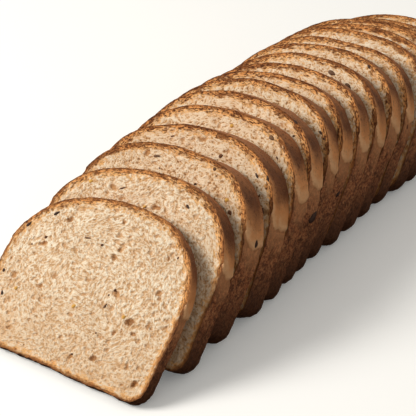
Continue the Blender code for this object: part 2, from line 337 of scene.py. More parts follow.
@dataclass(frozen=True)
class CrustFinish:
    """The baked outside: dark brown on the dome with painted light on its top, pale over the break,
    mottled below it, and darker with painted shade towards the base.
    """

    dome: Colour = srgb(140, 86, 52)
    dome_dark: Colour = srgb(98, 58, 35)
    # this colour is painted light, laid on the top of the dome
    crown: Colour = srgb(204, 132, 80)
    shoulder: Colour = srgb(242, 166, 104)
    pale: Colour = srgb(255, 202, 148)
    speck: Colour = srgb(72, 40, 24)
    wall: Colour = srgb(184, 115, 74)
    # the wall's dark colour: its mottling, and painted shade towards its base
    wall_dark_and_base_shade: Colour = srgb(66, 38, 23)
    wall_pale: Colour = srgb(226, 160, 108)

    cloud_mm: float = 16.0
    lump_mm: float = 4.5
    streak_mm: float = 2.4
    grain_mm: float = 1.6
    fine_mm: float = 0.75
    drawn_out: tuple[float, float, float] = (1.0, 1.0, 0.6)
    roughness: float = 0.62
    gloss: float = 0.25
    bump_m: float = 0.0018
    bump_strength: float = 0.8

    def make(self) -> bpy.types.Material:
        """Builds the material.

        Returns:
            The material of all crust.
        """
        r = Recipe("crust")
        place, above, height = r.read_place("place"), r.read("above"), r.read("height")
        clouds, lumps = r.noise(place, self.cloud_mm), r.noise(place, self.lump_mm, 3.0, 0.6)
        grains = r.noise(place, self.grain_mm, 2.0, 0.6)
        fine = r.noise(place, self.fine_mm, 3.0, 0.65)
        streaks = r.noise(r.read_place("place", self.drawn_out), self.streak_mm, 3.0, 0.65)
        darkened = clouds.between(0.35, 0.65) * 0.5 + fine.between(0.4, 0.7) * 0.35
        # where the painted light on the dome's top lies
        painted_top_light = height + clouds.centred * 0.16 + lumps.centred * 0.12
        dome = r.coats(
            self.dome,
            (darkened, self.dome_dark),
            (painted_top_light.between(0.86, 1.0) * 0.8, self.crown),
            ((above + clouds.centred * 14.0).between(22.0, 7.0), self.shoulder),
            ((above + lumps.centred * 14.0).between(9.0, 1.0) * 0.8, self.pale),
            (fine.between(0.55, 0.70) * 0.4, self.shoulder),
            (grains.between(0.58, 0.64) * height.between(0.6, 0.9) * 0.7, self.speck),
        )
        wall = r.coats(
            self.wall,
            (lumps.between(0.42, 0.62) * 0.6, self.wall_dark_and_base_shade),
            (streaks.between(0.52, 0.66) * 0.4, self.wall_pale),
            (grains.between(0.51, 0.62) * 0.6, self.wall_dark_and_base_shade),
            (grains.between(0.47, 0.36) * 0.5, self.wall_pale),
            (fine.between(0.50, 0.64) * 0.4, self.wall_dark_and_base_shade),
            # painted shade towards the base of the wall
            ((height + lumps.centred * 0.2).between(0.42, 0.06) * 0.85, self.wall_dark_and_base_shade),
            ((above + lumps.centred * 11.0).between(-18.0, -1.0) * 0.6, self.wall_pale),
        )
        colour = r.mix(above.between(-0.9, 0.4), wall, dome)
        normal = r.bump(fine * 0.45 + lumps * 0.55, self.bump_m, self.bump_strength)
        return r.finish(colour, self.roughness, normal, self.gloss)


@dataclass(frozen=True)
class GrainFinish:
    """The coat of one kind of grain, with a low sheen."""

    name: str
    main: Colour
    other: Colour
    roughness: float
    spot_mm: float = 0.9
    gloss: float = 0.15
    bump_m: float = 0.0003
    bump_strength: float = 0.5

    def make(self) -> bpy.types.Material:
        """Builds the material of this kind of grain."""
        r = Recipe(self.name)
        spots = r.noise(r.read_place("place"), self.spot_mm, 2.0, 0.6)
        share = r.read("tint") * 0.5 + spots.between(0.4, 0.65) * 0.5
        normal = r.bump(spots, self.bump_m, self.bump_strength)
        return r.finish(r.mix(share, self.main, self.other), self.roughness, normal, self.gloss)


@dataclass(frozen=True)
class FloorFinish:
    """A plain pale studio floor that throws little light back on the loaf."""

    pale: Colour = srgb(252, 251, 247)
    bounce: Colour = srgb(92, 72, 58)
    glow: Colour = (0.12, 0.125, 0.125, 1.0)
    dark: Colour = (0.0, 0.0, 0.0, 1.0)
    roughness: float = 0.9
    gloss: float = 0.1

    def make(self) -> bpy.types.Material:
        """Builds the floor's material."""
        r = Recipe("floor")
        seen = Wire(r, r.node("ShaderNodeLightPath").outputs["Is Camera Ray"])
        r.feed(r.surface.inputs["Emission Color"], r.mix(seen, self.dark, self.glow))
        r.surface.inputs["Emission Strength"].default_value = 1.0
        return r.finish(r.mix(seen, self.bounce, self.pale), self.roughness, None, self.gloss)


# ---------------------------------------------------------------- measuring the solids


@dataclass
class SliceForm:
    """A slice's solid as measured: its stance, its outline, and how its sheet bends."""

    node: str
    axes: np.ndarray
    base: np.ndarray
    outline: np.ndarray
    bend: np.ndarray
    thickness: float

    FORWARD = np.array([0.0, -0.85, 0.53])
    FACING = 0.8
    LEAST_FACE_AREA = 6e-6
    CURVE_STEPS = 24

    @classmethod
    def measured(cls, node: str) -> "SliceForm":
        """Measures a CAD node.

        Args:
            node: The node's name.

        Returns:
            Its form.
        """
        points, triangles = node_arrays(node)
        corners = points[triangles]
        normals = np.cross(corners[:, 1] - corners[:, 0], corners[:, 2] - corners[:, 0])
        doubled = np.linalg.norm(normals, axis=1)
        facing = normals @ cls.FORWARD > cls.FACING * doubled
        facing &= doubled > 2 * cls.LEAST_FACE_AREA
        out = (normals[facing] * doubled[facing][:, None]).sum(axis=0)
        out /= np.linalg.norm(out)
        across = np.cross([0.0, 0.0, 1.0], out)
        across /= np.linalg.norm(across)
        axes = np.stack([across, np.cross(out, across), -out])
        local = points @ axes.T
        front = local[np.unique(triangles[facing])]
        sheet = np.polyfit(front[:, 1], front[:, 2], 2)
        ring = front[front[:, 2] < np.polyval(sheet, front[:, 1])]
        middle = (ring[:, :2].min(axis=0) + ring[:, :2].max(axis=0)) / 2
        ring = ring[np.argsort(np.arctan2(ring[:, 1] - middle[1], ring[:, 0] - middle[0]))]
        base = np.array([middle[0], ring[:, 1].min(), 0.0])
        ring = ring - base
        bend = np.polyfit(ring[:, 1], ring[:, 2], 2)
        behind = local[:, 2] - np.polyval(bend, local[:, 1] - base[1])
        return cls(node, axes, base, ring[:, :2], bend, float(behind.max()))

    @property
    def width(self) -> float:
        """The outline's width."""
        return float(np.ptp(self.outline[:, 0]))

    @property
    def height(self) -> float:
        """The outline's height."""
        return float(np.ptp(self.outline[:, 1]))

    def world(self, plane: np.ndarray, depth: np.ndarray) -> np.ndarray:
        """Takes places across and up the face, at a depth behind it, to the row frame."""
        behind = depth + np.polyval(self.bend, plane[:, 1])
        local = np.column_stack([plane[:, 0], plane[:, 1], behind]) + self.base
        return local @ self.axes

    def own(self, points: np.ndarray) -> np.ndarray:
        """Takes points from the row frame to (across, up, depth) in the slice."""
        local = points @ self.axes.T - self.base
        local[:, 2] -= np.polyval(self.bend, local[:, 1])
        return local

    def smooth_outline(self, count: int) -> np.ndarray:
        """The outline as a closed smooth curve through the solid's corners.

        Args:
            count: Points wanted, evenly spaced.

        Returns:
            The points, turning to the left from the middle of the right side.
        """
        steps = np.linspace(0.0, 1.0, self.CURVE_STEPS, endpoint=False)[:, None]
        before, here = np.roll(self.outline, 1, axis=0), self.outline
        after, beyond = np.roll(self.outline, -1, axis=0), np.roll(self.outline, -2, axis=0)
        dense = []
        for a, b, c, d in zip(before, here, after, beyond):
            cubic = (-a + 3 * b - 3 * c + d) * steps**3
            cubic = cubic + (2 * a - 5 * b + 4 * c - d) * steps**2
            dense.append((cubic + (c - a) * steps) / 2 + b)
        curve = np.concatenate(dense)
        curve = np.vstack([curve, curve[:1]])
        lengths = np.append(0.0, np.cumsum(np.linalg.norm(np.diff(curve, axis=0), axis=1)))
        wanted = np.linspace(0.0, lengths[-1], count, endpoint=False)
        return np.column_stack([np.interp(wanted, lengths, curve[:, k]) for k in (0, 1)])


def node_arrays(node: str) -> tuple[np.ndarray, np.ndarray]:
    """The points and triangles of a CAD node.

    Args:
        node: The node's name.

    Returns:
        Points in the row frame, and triangles as rows of point numbers.
    """
    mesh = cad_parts[node].data
    points = np.empty(len(mesh.vertices) * 3)
    mesh.vertices.foreach_get("co", points)
    mesh.calc_loop_triangles()
    triangles = np.empty(len(mesh.loop_triangles) * 3, int)
    mesh.loop_triangles.foreach_get("vertices", triangles)
    points, same = np.unique(np.round(points.reshape(-1, 3), 6), axis=0, return_inverse=True)
    return points, same.ravel()[triangles].reshape(-1, 3)


# ---------------------------------------------------------------- unevenness


class Lumps:
    """Smooth random numbers in space, from a seeded lattice."""

    SIDE = 48

    def __init__(self, seed: int) -> None:
        """Draws the lattice."""
        self.lattice = np.random.default_rng(seed).uniform(-1.0, 1.0, (self.SIDE,) * 3)

    def at(self, points: np.ndarray, size: float) -> np.ndarray:
        """Reads the numbers.

        Args:
            points: Rows of three coordinates.
            size: Distance between the lattice's points, in the same unit.

        Returns:
            One number from -1 to 1 for each row.
        """
        scaled = points / size
        low = np.floor(scaled).astype(int)
        share = scaled - low
        share = share * share * (3 - 2 * share)
        total = np.zeros(len(points))
        for corner in np.ndindex(2, 2, 2):
            weight = np.prod(np.where(corner, share, 1 - share), axis=1)
            i, j, k = ((low + corner) % self.SIDE).T
            total += weight * self.lattice[i, j, k]
        return total

    def mixed(self, points: np.ndarray, *layers: tuple[float, float]) -> np.ndarray:
        """The sum of several readings, each given by its size and its strength."""
        return sum(self.at(points, size) * strength for size, strength in layers)


LUMPS = Lumps(seed=11)


@dataclass(frozen=True)
class PoreLayer:
    """Open cells of one size, at most one in each square of a jittered grid, in millimetres."""

    square: float
    smallest: float
    largest: float
    chance: float
    flatness: float

    OFF_CENTRE = (0.1, 0.9)
    TURNS = (-0.7, 0.7)
    STRETCHES = (1.0, 1.9)
    LEAST_RADIUS = 1e-6

    def depth(self, plane: np.ndarray, rng: np.random.Generator) -> np.ndarray:
        """How deep the cells cut at each point.

        Args:
            plane: Places on the face, in millimetres.
            rng: Draws this face's cells.

        Returns:
            Depths in millimetres.
        """
        low = plane.min(axis=0) - 2 * self.square
        count = np.ceil((np.ptp(plane, axis=0) + 4 * self.square) / self.square).astype(int) + 2
        jitter = rng.uniform(*self.OFF_CENTRE, (*count, 2))
        radius = rng.uniform(self.smallest, self.largest, tuple(count))
        radius *= rng.random(tuple(count)) < self.chance
        turn = rng.uniform(*self.TURNS, tuple(count))
        stretch = rng.uniform(*self.STRETCHES, tuple(count))
        square = np.floor((plane - low) / self.square).astype(int)
        deepest = np.zeros(len(plane))
        for step in np.ndindex(3, 3):
            i, j = (square + np.array(step) - 1).T
            offset = plane - low - (np.column_stack([i, j]) + jitter[i, j]) * self.square
            cosine, sine = np.cos(turn[i, j]), np.sin(turn[i, j])
            along = (offset[:, 0] * cosine + offset[:, 1] * sine) / stretch[i, j]
            side = offset[:, 1] * cosine - offset[:, 0] * sine
            size = np.maximum(radius[i, j], self.LEAST_RADIUS)
            hollow = np.clip(1 - (along**2 + side**2) / size**2, 0, None)
            deepest = np.maximum(deepest, radius[i, j] * self.flatness * np.sqrt(hollow))
        return deepest


@dataclass(frozen=True)
class Hollow:
    """One hole in a cut face. Lengths in millimetres."""

    across: float
    up: float
    length: float
    width: float
    turn: float
    deepest: float

    def depth(self, plane: np.ndarray) -> np.ndarray:
        """How deep it cuts at each point of the face, in millimetres."""
        offset = plane - np.array([self.across, self.up])
        along = offset[:, 0] * math.cos(self.turn) + offset[:, 1] * math.sin(self.turn)
        side = offset[:, 1] * math.cos(self.turn) - offset[:, 0] * math.sin(self.turn)
        reach = (2 * along / self.length) ** 2 + (2 * side / self.width) ** 2
        return self.deepest * np.sqrt(np.clip(1 - reach, 0, None))


# ---------------------------------------------------------------- meshes


class Slot(Enum):
    """The two materials of a piece of bread."""

    CRUMB = 0
    CRUST = 1


class Zone(Enum):
    """The parts of a slice's surface."""

    FRONT = 0
    BAND = 1
    BACK = 2


@dataclass
class Loop:
    """A ring of points in a shell: its first point's number and its count."""

    first: int
    count: int

    def at(self, places: np.ndarray) -> np.ndarray:
        """The numbers of the points at some places round the ring, which closes on itself."""
        return self.first + places % self.count


@dataclass
class Shell:
    """Rings of points, joined into one closed skin, each ring in front of the one before it."""

    plane: list[np.ndarray] = field(default_factory=list)
    depth: list[np.ndarray] = field(default_factory=list)
    zone: list[np.ndarray] = field(default_factory=list)
    triangles: list[np.ndarray] = field(default_factory=list)
    slots: list[np.ndarray] = field(default_factory=list)
    total: int = 0
    last: Loop | None = None

    def ring(self, plane: np.ndarray, depth: float, zone: Zone, slot: Slot) -> None:
        """Adds a ring, or a single point, and joins it to the one before.

        Args:
            plane: The ring's points on the face.
            depth: How far behind the front face it lies.
            zone: The part of the surface that it is on.
            slot: The material between it and the ring before.
        """
        loop = Loop(self.total, len(plane))
        self.plane.append(plane)
        self.depth.append(np.full(len(plane), depth))
        self.zone.append(np.full(len(plane), zone.value))
        self.total += len(plane)
        if self.last is not None:
            strip = self.strip(self.last, loop)
            self.triangles.append(strip)
            self.slots.append(np.full(len(strip), slot.value))
        self.last = loop

    @staticmethod
    def strip(a: Loop, b: Loop) -> np.ndarray:
        """Joins two rings.

        Args:
            a: A ring, or a single point.
            b: The next: as many points, half as many, twice as many, or a single one.

        Returns:
            Triangles, as rows of three point numbers.
        """
        fewer, more = sorted((a.count, b.count))
        n = np.arange(fewer if fewer > 1 else more)
        if b.count == 1:
            rows = [[a.at(n), a.at(n + 1), b.at(n)]]
        elif a.count == 1:
            rows = [[a.at(n), b.at(n + 1), b.at(n)]]
        elif a.count == b.count:
            rows = [[a.at(n), a.at(n + 1), b.at(n + 1)], [a.at(n), b.at(n + 1), b.at(n)]]
        else:
            fine, coarse = (a, b) if a.count > b.count else (b, a)
            first, middle, end = (fine.at(2 * n + step) for step in range(3))
            near, far = coarse.at(n), coarse.at(n + 1)
            rows = [[first, middle, near], [middle, far, near], [middle, end, far]]
        made = np.vstack([np.column_stack(row) for row in rows])
        return made[:, ::-1] if 1 < a.count < b.count else made


def new_object(name: str, points: np.ndarray, triangles: np.ndarray) -> bpy.types.Object:
    """Makes a mesh object.

    Args:
        name: The piece's name.
        points: Its points, in the row frame.
        triangles: Rows of three point numbers.

    Returns:
        The object, linked to the scene.
    """
    mesh = bpy.data.meshes.new(name)
    mesh.vertices.add(len(points))
    mesh.vertices.foreach_set("co", points.astype(np.float32).ravel())
    mesh.loops.add(triangles.size)
    mesh.loops.foreach_set("vertex_index", triangles.astype(np.int32).ravel())
    mesh.polygons.add(len(triangles))
    mesh.polygons.foreach_set("loop_start", np.arange(0, triangles.size, 3, dtype=np.int32))
    mesh.update(calc_edges=True)
    mesh.shade_smooth()
    made = bpy.data.objects.new(name, mesh)
    bpy.context.scene.collection.objects.link(made)
    return made


def write_numbers(piece: bpy.types.Object, numbers: dict[str, np.ndarray]) -> None:
    """Stores numbers or places on a mesh's points, for its finish to read.

    Args:
        piece: The object.
        numbers: For each name a number, or a row of three, for every point.
    """
    for name, values in numbers.items():
        kind, key = ("FLOAT_VECTOR", "vector") if values.ndim == 2 else ("FLOAT", "value")
        layer = piece.data.attributes.new(name, kind, "POINT")
        layer.data.foreach_set(key, values.astype(np.float32).ravel())


def outward_of(outline: np.ndarray) -> np.ndarray:
    """The outward way at each point of a closed outline that turns to the left."""
    along = np.roll(outline, -1, axis=0) - np.roll(outline, 1, axis=0)
    along /= np.linalg.norm(along, axis=1)[:, None]
    return np.column_stack([along[:, 1], -along[:, 0]])


def inset(outline: np.ndarray, form: SliceForm, amount: float) -> np.ndarray:
    """The outline drawn in evenly towards the middle of the slice."""
    shares = np.array([1 - 2 * amount / form.width, 1 - 2 * amount / form.height])
    return outline * shares + np.array([0.0, amount])


@dataclass(frozen=True)
class CrustRelief:
    """The crust's unevenness: a lip over the break, a groove under it and lumps. In millimetres."""

    lip: float = 0.50
    lip_fades: float = 9.0
    groove: float = 0.60
    groove_fades: float = 7.0
    border: float = 1.2
    border_below: float = 0.5
    lump_sizes: tuple[float, float] = (2.3, 1.1)
    on_wall: tuple[float, float] = (0.30, 0.16)
    on_dome: tuple[float, float] = (0.15, 0.12)
    broad: tuple[float, float] = (12.0, 0.4)

    def at(self, places: np.ndarray, above: np.ndarray) -> np.ndarray:
        """How far the crust stands out at each point.

        Args:
            places: Across, along the loaf and up.
            above: Height over the break.

        Returns:
            The relief.
        """
        dome = np.clip((above + self.border_below) / self.border, 0, 1)
        lip = self.lip * dome * np.exp(-np.clip(above, 0, None) / self.lip_fades)
        groove = -self.groove * (1 - dome) * np.exp(np.clip(above, None, 0) / self.groove_fades)
        wall_rough = LUMPS.mixed(places, *zip(self.lump_sizes, self.on_wall))
        dome_rough = LUMPS.mixed(places, *zip(self.lump_sizes, self.on_dome))
        rough = wall_rough * (1 - dome) + dome_rough * dome
        return lip + groove + rough + LUMPS.mixed(places, self.broad)


@dataclass
class Bread:
    """A slice rebuilt as a fine mesh in its solid's place."""

    form: SliceForm
    crumb: bpy.types.Material
    crust: bpy.types.Material
    along_mm: float
    seed: int
    around: int = 320
    ring_mm: float = 1.05
    rim_mm: float = 2.16
    sink_mm: float = 0.3
    belly_mm: float = 0.3
    bent_mm: float = 0.75
    break_share: float = 0.62
    tongue_mm: float = 7.0
    tongue_tip: float = 0.68
    coarse: float = 1.0
    holes: list[Hollow] = field(default_factory=list)
    relief: CrustRelief = CrustRelief()
    pores: tuple[PoreLayer, ...] = (
        PoreLayer(2.3, 0.5, 0.85, 0.5, 0.7),
        PoreLayer(5.5, 0.7, 1.2, 0.4, 0.8),
        PoreLayer(17.0, 1.1, 1.8, 0.3, 0.8),
    )

    MIDDLE = 0.48  # where the face's rings close in, as a share of its height
    HALVED = 0.5  # a ring has half the points each time its size falls to this share
    MOST_HALVINGS = 5
    BACK_STEP = 3  # the back's rings lie this many times as far apart as the front's
    RAGGED_MM = ((9.0, 1.8), (3.1, 1.3), (1.2, 0.6))  # the break line: size and strength
    SIDES_APART_MM = 40
    FACE_WAVES_MM = ((13.0, 0.10), (1.9, 0.13), (1.3, 0.08))  # the crumb: size and strength
    HOLD_MM = 2.5  # the crust's relief ends this far in on the cut faces
    PORE_RIM_MM = (1.2, 2.5)  # where pores start in from the rim, and over what width
    FAR_IN_MM = 60.0  # the edge distance of all points away from the rim
    NEAR_RIM = 0.6  # points beyond this share of the outline's least reach are near it
    BATCH = 2000
    SWIRL_MM = (15.0, 3.0)  # size and strength
    SHARP_DEG = 50
    CLEAR_M = 0.01  # how far outside the solid the search for the fine crust starts

    @property
    def middle(self) -> np.ndarray:
        """The point on the face that its rings close in on."""
        return np.array([0.0, self.form.height * self.MIDDLE])

    def face_rings(self, outline: np.ndarray, step_mm: float) -> list[np.ndarray]:
        """Rings from the middle of a face out to just inside its outline.

        Args:
            outline: The outer ring.
            step_mm: Distance between rings.

        Returns:
            The rings, the first one a single point.
        """
        steps = round(self.form.width / 2 / MM / step_mm)
        rings = [self.middle[None, :]]
        for share in np.arange(1, steps) / steps:
            halvings = min(self.MOST_HALVINGS, int(math.log(share, self.HALVED)))
            ring = outline[:: 2**halvings]
            rings.append(self.middle + (ring - self.middle) * share)
        return rings

    def wrap(self, outline: np.ndarray) -> Shell:
        """Joins the rings of the back face, the crust and the front face.

        Args:
            outline: The outline at the cut.

        Returns:
            The slice's skin.
        """
        shell = Shell()
        deep = self.form.thickness
        for ring in self.face_rings(outline, self.BACK_STEP * self.ring_mm):
            shell.ring(ring, deep, Zone.BACK, Slot.CRUMB)
        shell.ring(outline, deep, Zone.BAND, Slot.CRUMB)
        bands = round(deep / MM / self.ring_mm)
        for share in np.linspace(1.0, 0.0, bands)[1:]:
            belly = self.belly_mm * MM * 4 * share * (1 - share)
            shell.ring(outline + outward_of(outline) * belly, share * deep, Zone.BAND, Slot.CRUST)
        for ring in self.face_rings(outline, self.ring_mm)[::-1]:
            shell.ring(ring, 0.0, Zone.FRONT, Slot.CRUMB)
        return shell

    def break_line(self, plane: np.ndarray, along: np.ndarray, depth: np.ndarray) -> np.ndarray:
        """Height of the line where the dome's crust ends in a tongue, for each point.

        Args:
            plane: Places across and up the slice.
            along: Places along the loaf, in millimetres.
            depth: How far behind the front face each point lies.

        Returns:
            The heights, in millimetres.
        """
        side = np.sign(plane[:, 0]) * self.SIDES_APART_MM
        spots = np.column_stack([side, along, np.zeros(len(along))])
        from_tip = np.abs(depth / self.form.thickness - self.tongue_tip) / self.tongue_tip
        level = self.break_share * self.form.height / MM + LUMPS.mixed(spots, *self.RAGGED_MM)
        return level + self.tongue_mm * from_tip**3

    def crust_over(self, at: np.ndarray, out: np.ndarray) -> np.ndarray:
        """The point of the fine crust that lies over a point of the solid's."""
        hit = self.skin.ray_cast(Vector(at + out * self.CLEAR_M), Vector(-out))[0]
        return at if hit is None else np.array(hit)

    def build(self) -> bpy.types.Object:
        """Makes the piece.

        Returns:
            The object, in the solid's place.
        """
        outline = self.form.smooth_outline(self.around)
        shell = self.wrap(outline)
        plane, depth = np.concatenate(shell.plane), np.concatenate(shell.depth)
        zone = np.concatenate(shell.zone)
        outward = np.column_stack(
            [self.read_round(outline, ways, plane) for ways in outward_of(outline).T]
        )
        edge, around = self.edge_distance(plane, outline, zone)
        along = self.along_mm + depth / MM
        above = plane[:, 1] / MM - self.break_line(plane, along, depth)
        places = np.column_stack([plane[:, 0] / MM, along, plane[:, 1] / MM])
        hold = np.clip(1 - edge / self.HOLD_MM, 0, 1)
        plane = plane + outward * (self.relief.at(places, above) * hold * MM)[:, None]
        numbers = {
            "place": places,
            "edge": edge,
            "height": plane[:, 1] / self.form.height,
            "above": above,
            "pore": self.pore_depths(plane, zone, edge),
            "coarse": np.full(len(plane), self.coarse),
            "sponge": self.sponge_places(plane, places, outline),
            "girth": np.column_stack([around, edge, along]),
        }
        points = self.form.world(plane, depth + self.sunk(zone, numbers) * MM)
        points[:, 2] = np.clip(points[:, 2], 0.0, None)
        return self.piece(points, shell, numbers)

    def sunk(self, zone: np.ndarray, numbers: dict[str, np.ndarray]) -> np.ndarray:
        """How far each point lies behind its place on the plain slice.

        Args:
            zone: The part of the surface that each point is on.
            numbers: What the finishes read at each point.

        Returns:
            Millimetres, towards the back of the loaf.
        """
        broad, spongy, fine = self.FACE_WAVES_MM
        wave = LUMPS.mixed(numbers["place"], broad) + LUMPS.mixed(numbers["sponge"], spongy)
        wave = wave + LUMPS.mixed(numbers["place"], fine)
        rim_sink = self.sink_mm * np.clip((numbers["edge"] - self.rim_mm) / self.rim_mm, 0, 1)
        into = (numbers["pore"] + rim_sink + wave) * np.where(zone == Zone.BACK.value, -1, 1)
        return np.where(zone == Zone.BAND.value, 0, into)

    def piece(
        self, points: np.ndarray, shell: Shell, numbers: dict[str, np.ndarray]
    ) -> bpy.types.Object:
        """Makes the object, keeping its surface for the grains that lie on it.

        Args:
            points: The skin's points, in the row frame.
            shell: The skin.
            numbers: What the finishes read at each point.

        Returns:
            The object.
        """
        triangles = np.vstack(shell.triangles)
        self.skin = BVHTree.FromPolygons(points.tolist(), triangles.tolist())
        made = new_object(f"{self.form.node}_baked", points, triangles)
        made.data.materials.append(self.crumb)
        made.data.materials.append(self.crust)
        slots = np.concatenate(shell.slots).astype(np.int32)
        made.data.polygons.foreach_set("material_index", slots)
        made.data.set_sharp_from_angle(angle=math.radians(self.SHARP_DEG))
        write_numbers(made, numbers)
        return made

    def read_round(
        self, outline: np.ndarray, values: np.ndarray, plane: np.ndarray
    ) -> np.ndarray:
        """Reads, in each point's direction from the middle, what is given round the outline.

        Args:
            outline: The outline at the cut.
            values: A number for each of its points.
            plane: Places on the face.

        Returns:
            A number for each place.
        """
        turns = np.arctan2(*(outline - self.middle).T[::-1])
        wanted = np.arctan2(*(plane - self.middle).T[::-1])
        return np.interp(wanted, turns, values, period=2 * math.pi)

    def sponge_places(
        self, plane: np.ndarray, places: np.ndarray, outline: np.ndarray
    ) -> np.ndarray:
        """Places at which the crumb's noise is read, so that its cells lie along the crust.

        Args:
            plane: Places on the face.
            places: Across, along the loaf and up, in millimetres.
            outline: The outline at the cut.

        Returns:
            Squeezed and swirled places.
        """
        reach = np.linalg.norm(outline - self.middle, axis=1)
        full = self.read_round(outline, reach, plane)
        ring = np.linalg.norm(plane - self.middle, axis=1) / full * reach.mean() / MM
        swirl = [LUMPS.mixed(places + shift, self.SWIRL_MM) for shift in (0.0, 200.0, 400.0)]
        flat = [places[:, 0] * 0.7 + places[:, 1] * 3.0, places[:, 2] * 0.75, ring * 0.6]
        return np.column_stack(flat) + np.column_stack(swirl)

    def edge_distance(
        self, plane: np.ndarray, outline: np.ndarray, zone: np.ndarray
    ) -> tuple[np.ndarray, np.ndarray]:
        """Measures each point against the outline.

        Args:
            plane: Places on the face.
            outline: The outline at the cut.
            zone: The part of the surface that each point is on.

        Returns:
            The distance in from the outline, 0 on the crust and only exact near the rim, and
            the place round the outline, both in millimetres.
        """
        reach = np.linalg.norm(plane - self.middle, axis=1)
        least = np.linalg.norm(outline - self.middle, axis=1).min()
        edge = np.where(zone == Zone.BAND.value, 0.0, self.FAR_IN_MM)
        around = np.zeros(len(plane))
        step = np.linalg.norm(outline[1] - outline[0]) / MM
        near = np.flatnonzero(reach > self.NEAR_RIM * least)
        for part in np.array_split(near, max(1, len(near) // self.BATCH)):
            gaps = np.linalg.norm(plane[part][:, None] - outline[None], axis=2)
            around[part] = gaps.argmin(axis=1) * step
            edge[part] = np.where(zone[part] == Zone.BAND.value, 0.0, gaps.min(axis=1) / MM)
        return edge, around

    def pore_depths(self, plane: np.ndarray, zone: np.ndarray, edge: np.ndarray) -> np.ndarray:
        """Depths of the open cells in both cut faces, in millimetres, none on the crust."""
        depths = np.zeros(len(plane))
        spots = np.column_stack([plane / MM, np.full(len(plane), float(self.seed))])
        bends = [LUMPS.mixed(spots + shift, (1.5, self.bent_mm)) for shift in (0.0, 300.0)]
        uneven = plane / MM + np.column_stack(bends)
        for face in (Zone.FRONT, Zone.BACK):
            chosen = zone == face.value
            rng = np.random.default_rng(self.seed * 2 + face.value)
            for layer in self.pores:
                if chosen.any() and layer.largest > self.ring_mm:
                    depths[chosen] = np.maximum(depths[chosen], layer.depth(uneven[chosen], rng))
        front = zone == Zone.FRONT.value
        for hole in self.holes:
            depths[front] = np.maximum(depths[front], hole.depth(uneven[front]))
        start, width = self.PORE_RIM_MM
        return depths * np.clip((edge - start) / width, 0, 1)


@dataclass
class Heel(Bread):
    """The loaf's end: one cut face, and crust that rounds over behind it."""

    wall_mm: float = 9.0
    rounding_mm: float = 12.0
    bulge_mm: float = 2.0

    END_STEP = 1.5  # the end's rings lie this many times as far apart as the front's
    ROUNDING_RINGS = 18

    def wrap(self, outline: np.ndarray) -> Shell:
        """Joins the rings of the baked end, the rounding, the wall and the cut face.

        Args:
            outline: The outline at the cut.

        Returns:
            The heel's skin.
        """
        shell = Shell()
        deep, wall, rounding = self.form.thickness, self.wall_mm * MM, self.rounding_mm * MM
        flat_depth = deep - self.bulge_mm * MM
        end = inset(outline, self.form, rounding)
        full = np.linalg.norm(end - self.middle, axis=1).mean()
        for ring in self.face_rings(end, self.END_STEP * self.ring_mm):
            reach = float((np.linalg.norm(ring - self.middle, axis=1) / full).mean())
            shell.ring(ring, deep - (deep - flat_depth) * reach**3, Zone.BAND, Slot.CRUST)
        for turn in np.linspace(math.pi / 2, 0.0, self.ROUNDING_RINGS):
            drawn = inset(outline, self.form, rounding * (1 - math.cos(turn)))
            depth = wall + (flat_depth - wall) * math.sin(turn)
            shell.ring(drawn, depth, Zone.BAND, Slot.CRUST)
        bands = round(self.wall_mm / self.ring_mm)
        for share in np.linspace(1.0, 0.0, bands)[1:]:
            shell.ring(outline, share * wall, Zone.BAND, Slot.CRUST)
        for ring in self.face_rings(outline, self.ring_mm)[::-1]:
            shell.ring(ring, 0.0, Zone.FRONT, Slot.CRUMB)
        return shell


# ---------------------------------------------------------------- camera


@dataclass
class Viewpoint:
    """The photograph's camera."""

    place: Vector = field(default_factory=lambda: Vector((0.4748, -0.7185, 0.5279)))
    yaw_deg: float = 35.60
    pitch_deg: float = 31.34
    roll_deg: float = -1.12
    lens: float = 145.45
    sensor: float = 36.0

    @property
    def turn(self) -> Matrix:
        """The camera's axes as columns: right, up and back."""
        yaw, pitch, roll = (math.radians(d) for d in (self.yaw_deg, self.pitch_deg, self.roll_deg))
        level = math.cos(pitch)
        ahead = Vector((-math.sin(yaw) * level, math.cos(yaw) * level, -math.sin(pitch)))
        right = Vector((math.cos(yaw), math.sin(yaw), 0.0))
        tilted = math.cos(roll) * right + math.sin(roll) * right.cross(ahead)
        return Matrix((tilted, tilted.cross(ahead), -ahead)).transposed()

    def ray(self, pixel: tuple[float, float]) -> Vector:
        """The way from the camera through a pixel of the 416 by 416 frame."""
        focal = self.lens / self.sensor * FRAME_PIXELS
        half = FRAME_PIXELS / 2
        return (self.turn @ Vector((pixel[0] - half, half - pixel[1], -focal))).normalized()

    def build(self) -> None:
        """Makes the scene's camera."""
        data = bpy.data.cameras.new("camera")
        data.lens = self.lens
        data.sensor_width = self.sensor
        camera = bpy.data.objects.new("camera", data)
        camera.matrix_world = Matrix.Translation(self.place) @ self.turn.to_4x4()
        bpy.context.scene.collection.objects.link(camera)
        bpy.context.scene.camera = camera


@dataclass(frozen=True)
class Sight:
    """What a line of sight meets first: node, point, and the ways out of and along the surface."""

    node: str
    at: np.ndarray
    out: np.ndarray
    long: np.ndarray


